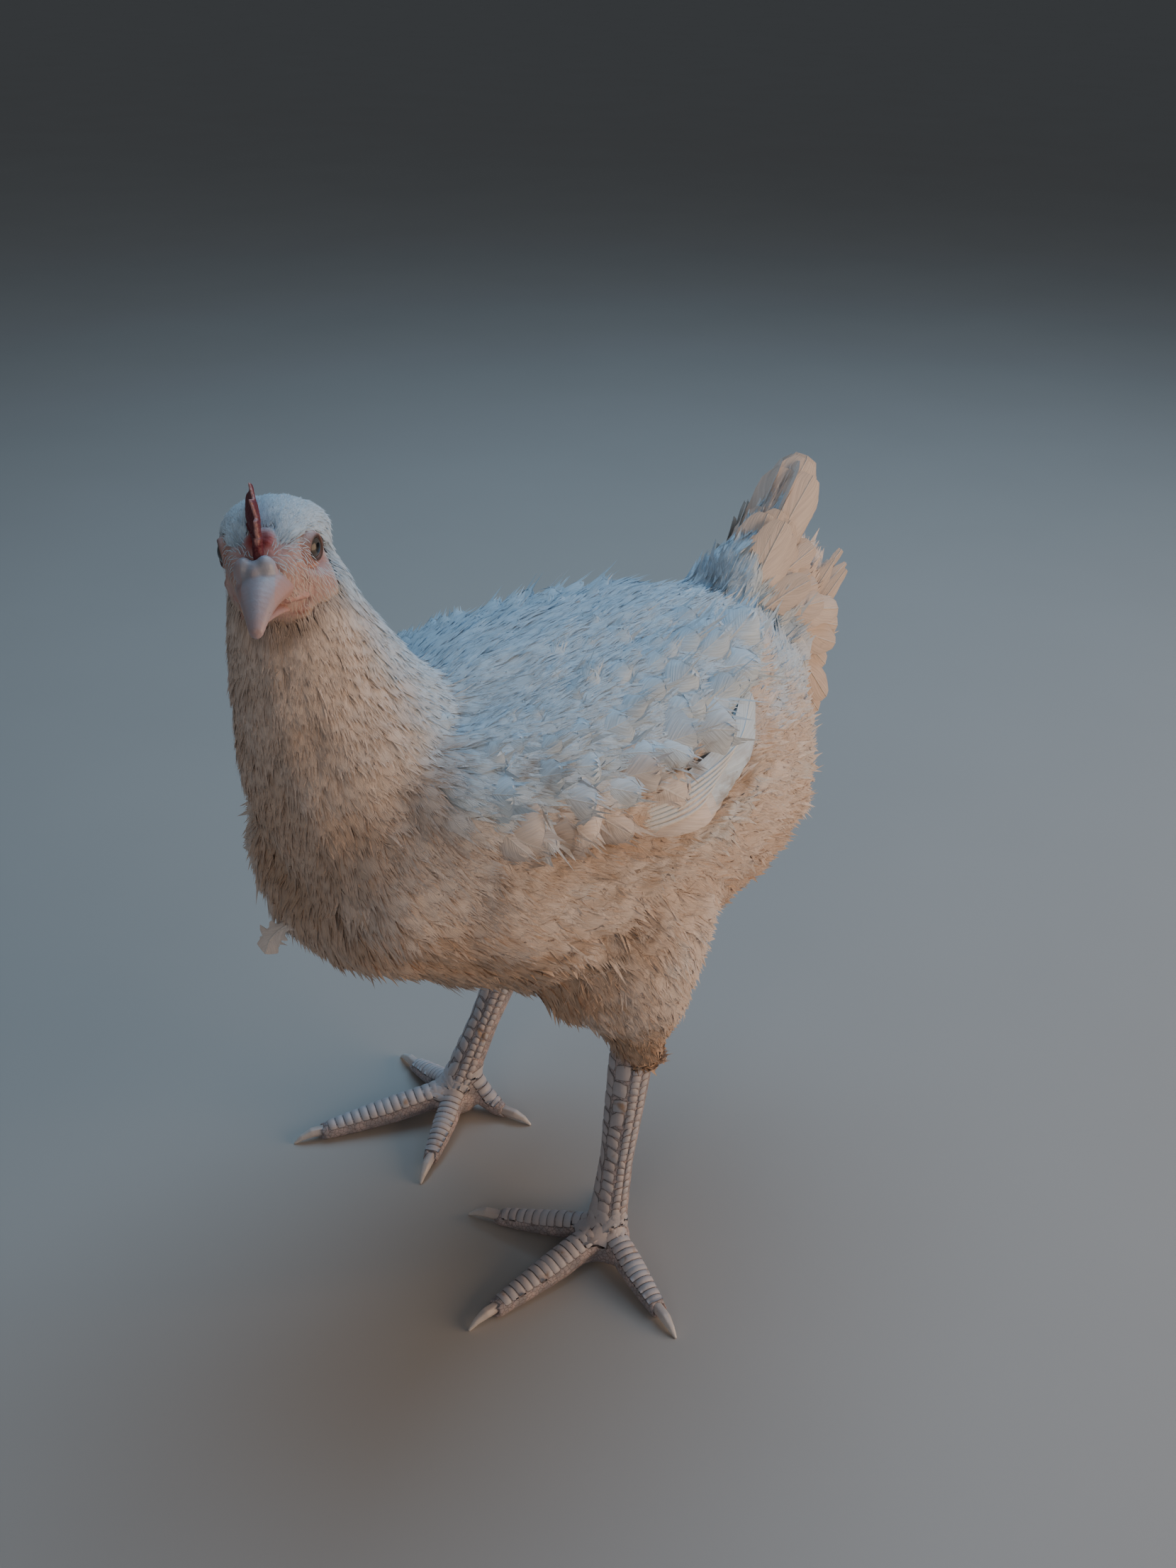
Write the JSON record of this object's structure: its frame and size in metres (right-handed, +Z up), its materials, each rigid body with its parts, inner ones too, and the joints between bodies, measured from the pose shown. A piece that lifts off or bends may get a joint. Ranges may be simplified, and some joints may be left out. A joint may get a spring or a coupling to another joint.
{
  "type": "chicken",
  "caption": "Young white chicken standing on both feet, its head turned to its left, with folded wings and a short upright tail.",
  "frame": {"origin": "on the floor, under the middle of the bird's box", "axes": "+Z up; the trunk faces -Y; the bird's left side is +X"},
  "size_m": [0.1938, 0.2946, 0.3156],
  "materials": {
    "plumage": "soft overlapping white feathers, a little soiled",
    "quills": "smooth stiff white vanes",
    "comb": "fleshy, finely grained",
    "bill": "pale horn, satin",
    "eye": "wet, grey brown iris and black pupil",
    "legs": "pale pink horny scales",
    "claws": "pale horn, satin"
  },
  "bodies": {
    "root": {"head": "plumage", "neck": "plumage", "trunk": "plumage", "tail": "plumage", "wing_left": "plumage", "wing_right": "plumage", "thigh_left": "plumage", "thigh_right": "plumage", "quills_left": "quills", "quills_right": "quills", "comb": "comb", "wattle_left": "comb", "wattle_right": "comb", "bill_upper": "bill", "bill_lower": "bill", "eye_left": "eye", "eye_right": "eye", "shank_left": "legs", "shank_right": "legs", "foot_left": "legs", "foot_right": "legs", "claw_left_inner": "claws", "claw_left_middle": "claws", "claw_left_outer": "claws", "claw_left_hind": "claws", "claw_right_inner": "claws", "claw_right_middle": "claws", "claw_right_outer": "claws", "claw_right_hind": "claws"}
  },
  "joints": []
}
